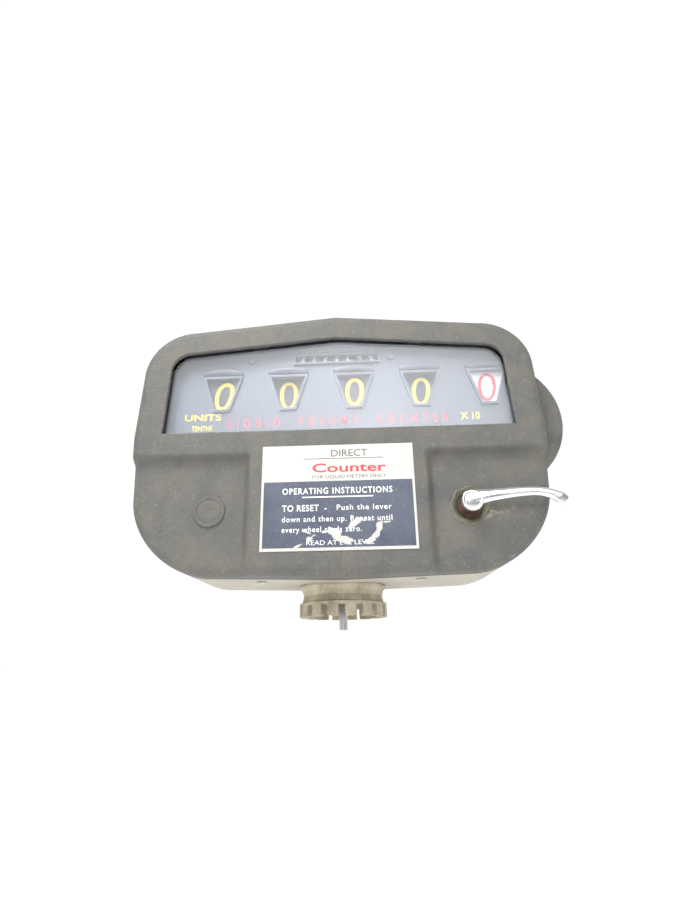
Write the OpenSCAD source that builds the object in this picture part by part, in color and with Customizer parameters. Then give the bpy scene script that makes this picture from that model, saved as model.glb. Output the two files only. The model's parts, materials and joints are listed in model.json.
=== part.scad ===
// Large-numeral reset counter: the register head that sits on a liquid meter.
// Origin: centre of the collar's bottom face. +Z up along the drive shaft, front towards -Y.

/* [Case] */
// Width of the case at its widest
case_w = 305; // [290:1:366]
// Depth of the case from its front face to its back
case_d = 105; // [100:1:130]
// Distance from the drive shaft forward to the front face
front_reach = 69; // [66:1:80]
// Depth of the front cover, from its front face to the seam
cover_d = 25; // [24:1:32]
// How far each side draws in above and below its widest part
side_bow = 2.5; // [0:0.5:5]
// Height of the widest part of the sides
widest_z = 126; // [115:1:140]
// Height of the roof ridge
apex_z = 227; // [222:1:272]
// Fall of the roof from its ridge to the shoulders
roof_fall = 10; // [4:1:14]
// Radius of the upper corners
shoulder_r = 39; // [30:1:45]
// Radius of the lower corners
foot_r = 56; // [45:1:60]
// Height of the floor at its middle, above the collar's bottom face
floor_z = 22.6; // [20:0.2:26]
// Rise of the floor from its middle to the lower corners
floor_rise = 2.6; // [0:0.2:5]
// Wall of the cover and the rear housing
wall = 4; // [3:0.5:4.5]
// Height of the joint between the base casting and the rear housing
split_z = 66; // [60:1:80]

/* [Front face] */
// Depth of the two lower pockets below the front face
pocket_d = 6; // [4:0.5:7]
// Half width of the raised centre panel
panel_half = 62; // [58:1:70]
// Height of the lower edge of the raised window surround
surround_z = 112; // [108:1:114]
// Width of the nameplate
plate_w = 107.8; // [90:0.2:112]
// Height of the nameplate
plate_h = 76; // [60:1:78]
// Half width of the window at its sill
win_half = 130; // [126:1:134]
// Height of the window sill
win_sill_z = 128.6; // [126:0.2:132]
// Height of the window's ridge
win_apex_z = 205.5; // [200:0.5:208]
// Glass thickness
glass_t = 3; // [2:0.5:3.5]

/* [Number discs] */
// Spacing of the number discs
disc_pitch = 51.4; // [50:0.1:53]
// Middle of the row of discs, right of the drive shaft
row_x = 13.2; // [8:0.2:14]
// Height of the disc centres
disc_z = 136.2; // [134:0.2:138]
// Thickness of a number disc
disc_t = 1.2; // [0.8:0.1:1.4]
// Wall of the blister around the last disc
blister_wall = 3.5; // [2.5:0.5:4.5]

/* [Shafts] */
// Diameter of the drive end below the collar
drive_d = 6.35; // [5:0.05:8]
// How far the drive end stands below the collar
drive_drop = 9; // [4:1:20]
// Radius of the drive shaft inside the case
shaft_r = 3; // [2.5:0.1:3.4]
// Radius of the disc spindles and gear arbors
spindle_r = 2.5; // [2:0.1:2.6]
// Running clearance of a shaft in its bore
run_gap = 0.05; // [0.03:0.01:0.08]

/* [Collar] */
// Outer radius of the castellated flange
flange_r = 33.5; // [31:0.5:36]
// Radius of the hollow inside the flange
collar_bore_r = 26; // [24:0.5:27]
// Radius of the waist above the flange
waist_r = 30.3; // [29:0.1:31]
// Height of the flange
flange_h = 10; // [8:0.5:11]
// Number of slots in the flange
slot_n = 16; // [8:2:20]
// Width of a slot
slot_w = 5.3; // [4:0.1:6]
// Depth of a slot
slot_h = 8; // [5:0.5:9]

/* [Reset lever] */
// Distance of the lever shaft from the middle of the case
lever_x = 92; // [88:1:96]
// Height of the lever shaft
lever_z = 69.8; // [66:0.2:74]
// Distance from the lever shaft to the middle of the lever's tip
lever_len = 61; // [45:1:75]
// Radius of the lever shaft
lever_shaft_r = 4; // [3:0.5:4.5]

/* [Totalizer] */
// Spacing of the totalizer wheels
tot_pitch = 9; // [8.5:0.1:9.4]
// Radius of a totalizer wheel
tot_r = 8.6; // [7:0.1:8.8]
// Height of the totalizer axle
tot_z = 193.5; // [193.4:0.1:196]

/* [Hidden] */
$fn = 48;
thin = 0.01;

// Planes along Y, from the front face back
face_y = -front_reach;
pocket_y = face_y + pocket_d;
seam_y = face_y + cover_d;
back_y = face_y + case_d;
lip_y = face_y + 3;
glass_y = lip_y + 1;
mask_t = 1.5;
mask_y = seam_y - 11;
disc_front_y = mask_y + mask_t + 1;
disc_rear_y = disc_front_y + 3;
plate_t = 2;
plate_y = seam_y;
rear_plate_y = 14;
edge_r = 7;

// Gear layers, front to back, between the two plates
layer_f = plate_y + plate_t + 2;
layer_p = layer_f + 5;
layer_q = layer_p + 6;
layer_r = layer_q + 6;
fine_t = 3;
coarse_t = 4;

// Number discs: each just clears its neighbour's hub
hub_r = spindle_r + 0.5;
disc_r = disc_pitch - hub_r - 0.6;
blister_r = disc_r + 1.4 + blister_wall;
function disc_x(n) = row_x + disc_pitch * (n - 3);
function disc_y(n) = n % 2 == 1 ? disc_front_y : disc_rear_y;
lens_half = 17.5;
lens_top_r = disc_r - 3.6;
lens_low_r = 16.4;

// Gear trains
mitre_t = 24;
mitre_m = 1;
mitre_r = mitre_t * mitre_m / 2;
mitre_face = 5;
lay_t = 16;
units_t = 20;
drive_m = 2;
lay_z = disc_z - (lay_t + units_t) * drive_m / 2;
fine_pinion_t = 12;
fine_wheel_t = 40;
fine_m = 0.6;
coarse_pinion_t = 12;
coarse_wheel_t = 36;
coarse_m = disc_pitch / 32;
fine_c = (fine_pinion_t + fine_wheel_t) * fine_m / 2;
coarse_c = (coarse_pinion_t + coarse_wheel_t) * coarse_m / 2;
idler_dx = (fine_c ^ 2 - coarse_c ^ 2 + disc_pitch ^ 2) / (2 * disc_pitch);
idler_dz = sqrt(fine_c ^ 2 - idler_dx ^ 2);

// Totalizer train
tot_n = 7;
tot_w = tot_pitch - 0.4;
tot_y = mask_y + mask_t + 0.8 + tot_r;
tot_axle_r = 2;
tot_gear_t = 16;
tot_gear_x = tot_n * tot_pitch / 2 + 0.8;
tot_gear_w = 3.5;
tot_ear_x = tot_gear_x + tot_gear_w + 1.6;
tot_ear_t = 2;
tot_idler_t = 28;
tot_gear_m = -tot_y / (tot_gear_t + tot_idler_t);
function tot_x(n) = tot_pitch * (n - (tot_n + 1) / 2);

// Reset train
sector_t = 48;
reset_pinion_t = 16;
reset_m = 1;
reset_c = (sector_t + reset_pinion_t) * reset_m / 2;
lever_t = 6;
lever_y = face_y - 9;
bush_flange_r = 8.2;
bush_sleeve_r = 6.5;
hole_r = 9.6;
plug_r = 11.5;

// Fasteners
cover_post_r = 6;
shank_r = 2;
head_r = 3.6;
shoulder_c = [case_w / 2 - side_bow - shoulder_r, apex_z - roof_fall - shoulder_r];
foot_c = [case_w / 2 - side_bow - foot_r, floor_z + floor_rise + foot_r];
upper_post = shoulder_c + [0.66, 0.62] * (shoulder_r - wall - cover_post_r - 1.5);
lower_post = foot_c + [0.74, -0.6] * (foot_r - wall - cover_post_r - 4);
pillar_r = 4;
low_pillar = [case_w / 2 - 47.5, split_z - 20];
pillars = [[-low_pillar.x, low_pillar.y], low_pillar,
    [-case_w / 2 + 34.5, disc_z + 35.8], [disc_x(5) - 21, disc_z + 39.8]];
frame_screw_x = 58;
frame_screw_y = seam_y + 11;
floor_t = 5;
glass_lap = 4;
clip_boss_r = 3;
clip_x = 60;
clip_low_z = win_sill_z - glass_lap - clip_boss_r - 0.3;
clip_high_z = win_apex_z + glass_lap + clip_boss_r - 4.5;
clips = [for (s = [-1, 1], z = [clip_low_z, clip_high_z]) [s * clip_x, z]];
mask_top = [[-68, tot_z + 1.5], [tot_ear_x + tot_ear_t + 3.2, tot_z + 1.5]];
mask_low = [for (n = [1, 3]) [(disc_x(n) + disc_x(n + 1)) / 2, disc_z - disc_r - 3]];

// ---------- shape helpers ----------

// Points of a corner: a super-ellipse quadrant, where power 2 is a true arc
function corner(c, r, from, power, steps = 9) = [for (i = [0 : steps]) let (a = from + 90 * i / steps)
    c + r * [sign(cos(a)) * abs(cos(a)) ^ (2 / power), sign(sin(a)) * abs(sin(a)) ^ (2 / power)]];
function mirrored(pts) = concat(pts, [for (i = [len(pts) - 1 : -1 : 0]) if (abs(pts[i].x) > thin)
    [-pts[i].x, pts[i].y]]);

// Case outline in X and Z, drawn in by d
function outline(d) = mirrored(concat(
    [[0, floor_z + d]],
    corner(foot_c, foot_r - d, -90, 1.8),
    [[case_w / 2 - d, widest_z]],
    corner(shoulder_c, shoulder_r - d, 0, 2),
    [[0, apex_z - d]]));

// Window outline, grown by d
function window(d) = mirrored(concat(
    [[0, win_sill_z - d], [win_half + d, win_sill_z - d]],
    corner([win_half - 17.5, win_apex_z - 25], 15 + d, 0, 2),
    [[0, win_apex_z + d]]));

// Extrudes X-Z children from y0 to y1
module along_y(y0, y1) {
    translate([0, y1, 0]) rotate([90, 0, 0]) linear_extrude(y1 - y0) children();
}

module slab(d, y0, y1) {
    along_y(y0, y1) polygon(outline(d));
}

// Round bar along Y, centred on p = [x, z]
module rod_y(p, r, y0, y1) {
    translate([p.x, y1, p.y]) rotate([90, 0, 0]) cylinder(r = r, h = y1 - y0);
}

module rod_x(y, z, r, x0, x1) {
    translate([x0, y, z]) rotate([0, 90, 0]) cylinder(r = r, h = x1 - x0);
}

module box(x0, x1, y0, y1, z0, z1) {
    translate([x0, y0, z0]) cube([x1 - x0, y1 - y0, z1 - z0]);
}

// Screw along Y with its head at the back (dir = 1) or at the front (dir = -1)
module screw_y(p, r, y0, y1, hr, ht, dir) {
    rod_y(p, r, y0, y1);
    if (dir > 0) rod_y(p, hr, y1, y1 + ht);
    else rod_y(p, hr, y0 - ht, y0);
}

// ---------- gears ----------

pressure = 20;
backlash = 0.12;
function inv(r, rb) = let (a = acos(min(1, rb / r))) tan(a) * 180 / PI - a;
function half_tooth(r, t, m) = let (rp = t * m / 2, rb = rp * cos(pressure))
    90 / t * (1 - backlash) + inv(rp, rb) - inv(max(r, rb), rb);
function tooth(t, m, at) = let (rp = t * m / 2, radii = [for (k = [-1.2, -0.4, 0.3, 0.85]) rp + k * m])
    concat([for (r = radii) let (a = at - half_tooth(r, t, m)) r * [cos(a), sin(a)]],
           [for (i = [3 : -1 : 0]) let (r = radii[i], a = at + half_tooth(r, t, m)) r * [cos(a), sin(a)]]);
// Gear outline with one tooth pointing at angle at
function gear(t, m, at = 0) = [for (k = [0 : t - 1]) each tooth(t, m, at + 360 * k / t)];

module gear_y(p, t, m, at, y0, y1) {
    translate([p.x, y1, p.y]) rotate([90, 0, 0]) linear_extrude(y1 - y0) polygon(gear(t, m, at));
}

// Gear on an X axis; at is measured from -Y towards +Z
module gear_x(y, z, t, m, at, x0, x1) {
    translate([x0, y, z]) rotate([0, 90, 0]) rotate([0, 0, -90]) linear_extrude(x1 - x0)
        mirror([0, 1]) polygon(gear(t, m, at));
}

// Mitre gear: pitch circle at z = -mitre_r, teeth narrowing towards the shaft crossing at the origin
module mitre(at) {
    translate([0, 0, -mitre_r]) linear_extrude(mitre_face, scale = 1 - mitre_face / mitre_r)
        polygon(gear(mitre_t, mitre_m, at));
    translate([0, 0, -mitre_r - 3]) cylinder(r = 7, h = 3);
}

// ---------- case ----------

// Raised panel: a centre column and the window surround, with walls that slope back from y0 to y1
module panel_prism(y0, y1) {
    half = panel_half;
    hull() {
        along_y(y0, y0 + thin) translate([-half, 0]) square([2 * half, surround_z + 20]);
        along_y(y1, seam_y) translate([-half - pocket_d, 0]) square([2 * (half + pocket_d), surround_z + 20]);
    }
    hull() {
        along_y(y0, y0 + thin) translate([-case_w, surround_z]) square([2 * case_w, apex_z]);
        along_y(y1, seam_y) translate([-case_w, surround_z - pocket_d]) square([2 * case_w, apex_z]);
    }
}

module rounded_front(y) {
    hull() {
        slab(edge_r, y, y + thin);
        slab(edge_r * 0.3, y + edge_r * 0.3, y + edge_r);
        slab(0, y + edge_r, seam_y);
    }
}

module front_cover() {
    color("#2f302c") difference() {
        union() {
            rounded_front(pocket_y);
            intersection() {
                rounded_front(face_y);
                panel_prism(face_y, pocket_y);
            }
            intersection() {
                rod_y([disc_x(5), disc_z], blister_r, mask_y - 2, seam_y);
                box(0, case_w, -case_w, 0, 0, apex_z);
            }
        }
        difference() {
            slab(wall, pocket_y + 4.5, seam_y + 1);
            rod_y([lever_x, lever_z], hole_r + 3, pocket_y, mask_y + 5);
            rod_y([-lever_x, lever_z], hole_r + 3, pocket_y, mask_y + 5);
            for (s = [-1, 1]) {
                rod_y([s * upper_post.x, upper_post.y], cover_post_r, pocket_y, seam_y + 2);
                rod_y([s * lower_post.x, lower_post.y], cover_post_r, pocket_y, seam_y + 2);
            }
        }
        difference() {
            intersection() {
                slab(edge_r + 2, lip_y, pocket_y + 5);
                along_y(lip_y, pocket_y + 5) union() {
                    translate([-panel_half + 5, floor_z]) square([2 * panel_half - 10, apex_z]);
                    translate([-case_w, surround_z + 5]) square([2 * case_w, apex_z]);
                }
            }
            for (p = clips) rod_y(p, clip_boss_r, lip_y - 1, glass_y + glass_t);
        }
        rod_y([disc_x(5), disc_z], blister_r - blister_wall, mask_y + 1, seam_y + 1);
        along_y(face_y - 1, pocket_y + 6) polygon(window(0));
        rod_y([lever_x, lever_z], hole_r, face_y, pocket_y + 6);
        for (s = [-1, 1]) {
            rod_y([s * lever_x, lever_z], bush_sleeve_r, face_y, mask_y + 6);
            for (p = [upper_post, lower_post])
                rod_y([s * p.x, p.y], shank_r, seam_y - 14, seam_y + 1);
        }
        for (p = clips) rod_y(p, 1.2, lip_y + 1, glass_y + glass_t + 1);
    }
}

module window_glass() {
    color("#c9d3da", 0.35) along_y(glass_y, glass_y + glass_t) polygon(window(glass_lap));
}

module glass_gasket() {
    color("#1b1b1b") along_y(lip_y, glass_y) difference() {
        polygon(window(glass_lap));
        polygon(window(0.6));
    }
}

module glass_clips() {
    y = glass_y + glass_t;
    reach = glass_lap + clip_boss_r - 0.6;
    color("silver") for (p = clips) {
        s = p.y > disc_z ? -1 : 1;
        ends = [p.y - s * (clip_boss_r + 0.2), p.y + s * reach];
        difference() {
            box(p.x - 6, p.x + 6, y, y + 1.2, min(ends), max(ends));
            rod_y(p, 1.4, y - 1, y + 2);
        }
    }
}

module clip_screws() {
    color("silver") for (p = clips)
        screw_y(p, 1.2, lip_y + 1, glass_y + glass_t + 1.2, 2.4, 1.2, 1);
}

module nameplate() {
    low_z = floor_z + 16.7;
    color("#24405c") box(-plate_w / 2, plate_w / 2, face_y - 0.5, face_y, low_z, low_z + plate_h);
}

module blanking_plug() {
    p = [-lever_x, lever_z];
    color("#2f302c") union() {
        rod_y(p, bush_sleeve_r, pocket_y, mask_y + 5);
        rod_y(p, plug_r, pocket_y - 1.5, pocket_y);
    }
}

function lens(n, grow) = let (a = lens_half, c = [disc_x(n), disc_z])
    [for (p = [[lens_low_r - grow, a], [lens_top_r + grow, a], [lens_top_r + grow, -a],
        [lens_low_r - grow, -a]]) c + [p.x * sin(p.y) + sign(p.y) * grow, p.x * cos(p.y)]];

module tot_slot(grow) {
    translate([-tot_n * tot_pitch / 2 - 1 - grow, tot_z - 3 - grow])
        square([tot_n * tot_pitch + 2 + 2 * grow, 6 + 2 * grow]);
}

module mask_plate() {
    color("#39435a") difference() {
        union() {
            intersection() {
                slab(wall + 2, mask_y, mask_y + mask_t);
                box(-case_w, case_w, mask_y, mask_y + mask_t, disc_z - disc_r - 6, apex_z);
            }
            for (n = [1 : 5]) along_y(mask_y - 2, mask_y) polygon(lens(n, 2));
            along_y(mask_y - 2, mask_y) tot_slot(1.6);
        }
        for (n = [1 : 5]) along_y(mask_y - 3, mask_y + mask_t + 1) polygon(lens(n, 0));
        along_y(mask_y - 3, mask_y + mask_t + 1) tot_slot(0);
        for (p = concat(mask_top, mask_low)) rod_y(p, shank_r + 0.2, mask_y - 1, mask_y + mask_t + 1);
        for (s = [-1, 1]) rod_y([s * upper_post.x, upper_post.y], cover_post_r + 1, mask_y - 1, mask_y + 2);
        for (s = [-1, 1]) rod_y([s * lever_x, lever_z], hole_r + 4, mask_y - 1, mask_y + 2);
    }
}

module mask_posts() {
    color("silver") for (p = concat(mask_top, mask_low)) difference() {
        rod_y(p, 2.9, mask_y + mask_t, plate_y);
        rod_y(p, shank_r, mask_y, mask_y + 6);
    }
}

module mask_screws() {
    color("silver") for (p = concat(mask_top, mask_low))
        screw_y(p, shank_r, mask_y, mask_y + 6, head_r, 1.6, -1);
}

// ---------- frame ----------

module plate_outline(top) {
    polygon(mirrored([[0, floor_z + 10], [low_pillar.x - 6, floor_z + 10],
        [low_pillar.x + 6, low_pillar.y - 2],
        [low_pillar.x + 10, disc_z - 55], [disc_x(5) + 9, disc_z - 45], [disc_x(5) + 9, disc_z + 22],
        [disc_x(5) - 6, top], [0, top]]));
}

function idler(n) = [disc_x(n + 1) - idler_dx, disc_z + idler_dz];
lay = [disc_x(5), lay_z];
reset_arbor = [lever_x - reset_c, lever_z];
plate_top = tot_z - tot_r - 1.2;

module front_plate() {
    color("#b9bbb5") difference() {
        union() {
            along_y(plate_y, plate_y + plate_t) plate_outline(plate_top);
            for (s = [-1, 1]) box(s * frame_screw_x - 10, s * frame_screw_x + 10, plate_y, frame_screw_y + 9,
                floor_z + 10, floor_z + 13);
        }
        for (n = [1 : 5]) rod_y([disc_x(n), disc_z], spindle_r + run_gap, plate_y - 1, plate_y + 3);
        for (n = [2, 4]) rod_y(idler(n), spindle_r + run_gap, plate_y - 1, plate_y + 3);
        rod_y(lay, spindle_r + run_gap, plate_y - 1, plate_y + 3);
        rod_y(reset_arbor, spindle_r + run_gap, plate_y - 1, plate_y + 3);
        rod_y([lever_x, lever_z], lever_shaft_r + run_gap, plate_y - 1, plate_y + 3);
        for (p = pillars) rod_y(p, shank_r + 0.2, plate_y - 1, plate_y + 3);
        for (s = [-1, 1]) translate([s * frame_screw_x, frame_screw_y, floor_z])
            cylinder(r = shank_r + 0.3, h = 20);
    }
}

module rear_plate() {
    color("#b9bbb5") difference() {
        along_y(rear_plate_y, rear_plate_y + plate_t) plate_outline(plate_top - 6);
        for (n = [1 : 5]) rod_y([disc_x(n), disc_z], spindle_r + run_gap, rear_plate_y - 1, rear_plate_y + 3);
        for (n = [1, 3]) rod_y(idler(n), spindle_r + run_gap, rear_plate_y - 1, rear_plate_y + 3);
        rod_y(lay, spindle_r + run_gap, rear_plate_y - 1, rear_plate_y + 3);
        for (p = pillars) rod_y(p, shank_r + 0.2, rear_plate_y - 1, rear_plate_y + 3);
    }
}

module plate_pillars() {
    color("silver") for (p = pillars) difference() {
        rod_y(p, pillar_r, plate_y + plate_t, rear_plate_y);
        rod_y(p, shank_r, plate_y, plate_y + 9);
        rod_y(p, shank_r, rear_plate_y - 8, rear_plate_y + 1);
    }
}

module pillar_screws() {
    color("silver") for (p = pillars) {
        screw_y(p, shank_r, plate_y, plate_y + 8, head_r, 1.6, -1);
        screw_y(p, shank_r, rear_plate_y - 7, rear_plate_y + plate_t, head_r, 1.6, 1);
    }
}

cross_ends = [42, disc_x(5) - 22];
module shaft_brackets() {
    color("#8f8f88") {
        for (x = cross_ends) difference() {
            box(x - 4, x + 4, -7, rear_plate_y, lay_z - 8, lay_z + 8);
            rod_x(0, lay_z, shaft_r + run_gap, x - 5, x + 5);
        }
        difference() {
            box(-7, 7, -7, rear_plate_y, disc_z + 18, disc_z + 26);
            translate([0, 0, disc_z]) cylinder(r = shaft_r + run_gap, h = 40);
        }
    }
}

// Rear shell with a rounded back edge, before it is parted into base and housing
module rear_shell() {
    difference() {
        hull() {
            slab(0, seam_y, back_y - 9);
            slab(3, back_y - 3, back_y - 3 + thin);
            slab(9, back_y - thin, back_y);
        }
        slab(wall, seam_y - 1, back_y - wall);
    }
}

module post_holes(p) {
    rod_y(p, shank_r + 0.3, seam_y - 1, back_y - 5);
    rod_y(p, head_r + 0.5, back_y - 6, back_y + 1);
}

module base_casting() {
    color("#9c8f6b") difference() {
        union() {
            intersection() {
                rear_shell();
                box(-case_w, case_w, seam_y, back_y, 0, split_z);
            }
            intersection() {
                slab(wall / 2, seam_y, back_y - wall / 2);
                union() {
                    box(-case_w, case_w, seam_y, back_y, 0, floor_z + floor_t);
                    for (s = [-1, 1]) box(s * frame_screw_x - 10, s * frame_screw_x + 10, seam_y,
                        frame_screw_y + 9, floor_z, floor_z + 10);
                }
            }
            for (s = [-1, 1]) rod_y([s * lower_post.x, lower_post.y], cover_post_r, seam_y, back_y - 3);
            cylinder_at(flange_r, floor_z + seat_d, floor_z + floor_t);
            cylinder_at(bush_r + 6, floor_z + 1, floor_z + 10);
        }
        cylinder_at(collar_top_r, 0, floor_z + seat_d);
        for (s = [-1, 1]) {
            post_holes([s * lower_post.x, lower_post.y]);
            translate([s * frame_screw_x, frame_screw_y, floor_z - 5]) cylinder(r = shank_r + 0.3, h = 20);
            translate([s * frame_screw_x, frame_screw_y, floor_z - 5]) cylinder(r = head_r + 0.6, h = 7.5);
        }
        translate([0, 0, floor_z - 1]) cylinder(r = bush_r, h = 20);
        for (a = [45 : 90 : 315]) rotate([0, 0, a]) translate([collar_screw_r, 0, floor_z - 1])
            cylinder(r = shank_r, h = 10);
    }
}

module cylinder_at(r, z0, z1) {
    translate([0, 0, z0]) cylinder(r = r, h = z1 - z0);
}

module rear_housing() {
    ear_t = 4;
    color("#33332f") difference() {
        union() {
            intersection() {
                rear_shell();
                box(-case_w, case_w, seam_y, back_y, split_z, case_w);
            }
            intersection() {
                rod_y([disc_x(5), disc_z], blister_r, seam_y, seam_y + ear_t);
                box(case_w / 2 - side_bow - wall, case_w, -case_w, 0, 0, apex_z);
            }
            for (s = [-1, 1]) rod_y([s * upper_post.x, upper_post.y], cover_post_r, seam_y + 2, back_y - 3);
        }
        for (s = [-1, 1]) post_holes([s * upper_post.x, upper_post.y]);
    }
}

module cover_screws() {
    color("#55554f") for (s = [-1, 1], p = [upper_post, lower_post])
        screw_y([s * p.x, p.y], shank_r, seam_y - 13, back_y - 6, head_r, 3, 1);
}

module frame_screws() {
    color("#8a8a84") for (s = [-1, 1]) translate([s * frame_screw_x, frame_screw_y, 0]) {
        cylinder_at(shank_r, floor_z + 2.5, floor_z + 16);
        cylinder_at(head_r, floor_z + 0.5, floor_z + 2.5);
    }
}

// ---------- collar and drive ----------

bush_r = 8;
web_z = floor_z - 5;
collar_top_r = flange_r - 0.4;
collar_screw_r = (bush_r + collar_bore_r) / 2 + 2;
seat_d = 0.4;

module collar() {
    shelf_z = (flange_h + floor_z) / 2 - 1;
    color("#84714e") difference() {
        rotate_extrude($fn = 96) polygon([[bush_r, web_z], [collar_bore_r, web_z], [collar_bore_r, 0],
            [flange_r, 0], [flange_r, flange_h], [waist_r + 1, flange_h + 1], [waist_r, shelf_z],
            [waist_r + 0.6, floor_z - 4], [collar_top_r, floor_z - 1], [collar_top_r, floor_z + seat_d],
            [bush_r, floor_z + seat_d]]);
        for (k = [0 : slot_n - 1]) rotate([0, 0, -90 + 360 * k / slot_n])
            translate([collar_bore_r - 2, -slot_w / 2, -1]) cube([flange_r, slot_w, slot_h + 1]);
        for (a = [45 : 90 : 315]) rotate([0, 0, a]) translate([collar_screw_r, 0, web_z - 1])
            cylinder(r = shank_r + 0.2, h = 10);
    }
}

module collar_screws() {
    color("#6f6f69") for (a = [45 : 90 : 315]) rotate([0, 0, a]) translate([collar_screw_r, 0, 0]) {
        cylinder_at(shank_r, web_z, floor_z + 8);
        cylinder_at(head_r, web_z - 3, web_z);
    }
}

module drive_bush() {
    color("#a07a3c") difference() {
        cylinder_at(bush_r, web_z - 1, floor_z + 12);
        cylinder_at(shaft_r + run_gap, web_z - 2, floor_z + 13);
    }
}

module drive_shaft() {
    color("silver") union() {
        cylinder_at(drive_d / 2, -drive_drop, web_z - 1.5);
        cylinder_at(shaft_r, web_z - 1.5, tot_z - 4);
    }
}

// Lower mitre turns the cross shaft, upper mitre turns the totalizer's jack shaft
module drive_bevels() {
    color("#b08d4a") difference() {
        for (z = [lay_z, tot_z]) translate([0, 0, z]) mitre(0);
        cylinder_at(shaft_r, 0, apex_z);
    }
}

module cross_shaft() {
    color("silver") rod_x(0, lay_z, shaft_r, shaft_r + 2, disc_x(5) - spindle_r - 2);
}

module cross_bevels() {
    color("#b08d4a") difference() {
        union() {
            translate([0, 0, lay_z]) rotate([0, -90, 0]) mitre(half_step);
            translate([disc_x(5), 0, lay_z]) rotate([0, 90, 0]) mitre(half_step);
        }
        rod_x(0, lay_z, shaft_r, 0, case_w);
    }
}

half_step = 180 / mitre_t;

module lay_shaft() {
    color("#b08d4a") union() {
        rod_y(lay, spindle_r, plate_y - 2, rear_plate_y + 3);
        translate([lay.x, 0, lay.y]) rotate([-90, 0, 0]) mitre(0);
        gear_y(lay, lay_t, drive_m, 90, layer_q, layer_q + coarse_t);
    }
}

module jack_shaft() {
    color("silver") union() {
        rod_x(0, tot_z, shaft_r, shaft_r + 2, tot_ear_x + tot_ear_t);
        gear_x(0, tot_z, tot_gear_t, tot_gear_m, 180 / tot_gear_t, tot_gear_x, tot_gear_x + tot_gear_w);
    }
}

module jack_bevel() {
    color("#b08d4a") difference() {
        translate([0, 0, tot_z]) rotate([0, -90, 0]) mitre(half_step);
        rod_x(0, tot_z, shaft_r, 0, case_w);
    }
}

// ---------- number discs ----------

module number_disc(n) {
    y = disc_y(n);
    color(n == 5 ? "#ece9dd" : "#20242b") difference() {
        union() {
            rod_y([disc_x(n), disc_z], disc_r, y, y + disc_t);
            rod_y([disc_x(n), disc_z], hub_r, y + disc_t, plate_y - 0.6);
        }
        rod_y([disc_x(n), disc_z], spindle_r, y - 1, plate_y);
    }
}

module disc_spindle(n) {
    p = [disc_x(n), disc_z];
    to_idler = atan2(idler_dz, -idler_dx);
    from_idler = atan2(idler_dz, disc_pitch - idler_dx);
    color("#c8a860") union() {
        rod_y(p, spindle_r, disc_y(n), rear_plate_y + 3);
        if (n > 1) gear_y(p, fine_pinion_t, fine_m, to_idler, n % 2 == 1 ? layer_f : layer_r,
            (n % 2 == 1 ? layer_f : layer_r) + fine_t);
        if (n < 5) gear_y(p, coarse_wheel_t, coarse_m, from_idler + 180 / coarse_wheel_t,
            n % 2 == 0 ? layer_p : layer_q, (n % 2 == 0 ? layer_p : layer_q) + coarse_t);
        if (n == 5) gear_y(p, units_t, drive_m, -90 + 180 / units_t, layer_q, layer_q + coarse_t);
    }
}

// Idler from the spindle of disc n + 1 down to that of disc n
module transfer_gear(n) {
    p = idler(n);
    front = n % 2 == 0;
    to_fast = atan2(-idler_dz, idler_dx);
    to_slow = atan2(-idler_dz, idler_dx - disc_pitch);
    fine_y = front ? layer_f : layer_r;
    coarse_y = front ? layer_p : layer_q;
    color("#c8a860") union() {
        rod_y(p, spindle_r, front ? plate_y - 2 : layer_q, front ? layer_p + coarse_t : rear_plate_y + 3);
        gear_y(p, fine_wheel_t, fine_m, to_fast + 180 / fine_wheel_t, fine_y, fine_y + fine_t);
        gear_y(p, coarse_pinion_t, coarse_m, to_slow, coarse_y, coarse_y + coarse_t);
    }
}

// ---------- totalizer ----------

module totalizer_frame() {
    z0 = tot_z - 7;
    z1 = tot_z + 7;
    left_x = -tot_ear_x;
    bar_y = tot_y + tot_r + 1.5;
    color("#8f8f88") difference() {
        union() {
            box(tot_ear_x, tot_ear_x + tot_ear_t, plate_y, 8, z0, z1);
            box(tot_ear_x, tot_ear_x + tot_ear_t, tot_y - 4, plate_y, z0, z1);
            box(left_x - tot_ear_t, left_x, tot_y - 4, bar_y + 2, z0, z1);
            box(left_x, tot_gear_x - 3, bar_y, bar_y + 2, z0, z1);
            box(left_x - 6, left_x, plate_y + plate_t, bar_y + 2, z0 - 10, z0 + 6);
            box(tot_ear_x, mask_top[1].x + 4, plate_y + plate_t, plate_y + plate_t + 3, z0 - 10, z1);
            box(tot_ear_x, mask_top[1].x + 4, plate_y, plate_y + plate_t + 3, z0, z1);
            box(mask_top[0].x - 4, left_x, plate_y, plate_y + 3, z0, z1);
            box(left_x - 6, tot_ear_x + 1, plate_y + plate_t, plate_y + plate_t + 2, z0 - 10, z0 - 6.5);
        }
        rod_x(tot_y, tot_z, tot_axle_r, -case_w, case_w);
        rod_x(tot_y / 2, tot_z, shank_r + run_gap, 0, case_w);
        rod_x(0, tot_z, shaft_r + run_gap, 0, case_w);
    }
}

module totalizer_axle() {
    color("silver") rod_x(tot_y, tot_z, tot_axle_r, -tot_ear_x - tot_ear_t, tot_ear_x + tot_ear_t);
}

module totalizer_idler() {
    color("#c8a860") union() {
        rod_x(tot_y / 2, tot_z, shank_r, tot_gear_x, tot_ear_x + tot_ear_t);
        gear_x(tot_y / 2, tot_z, tot_idler_t, tot_gear_m, 0, tot_gear_x, tot_gear_x + tot_gear_w);
    }
}

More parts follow.
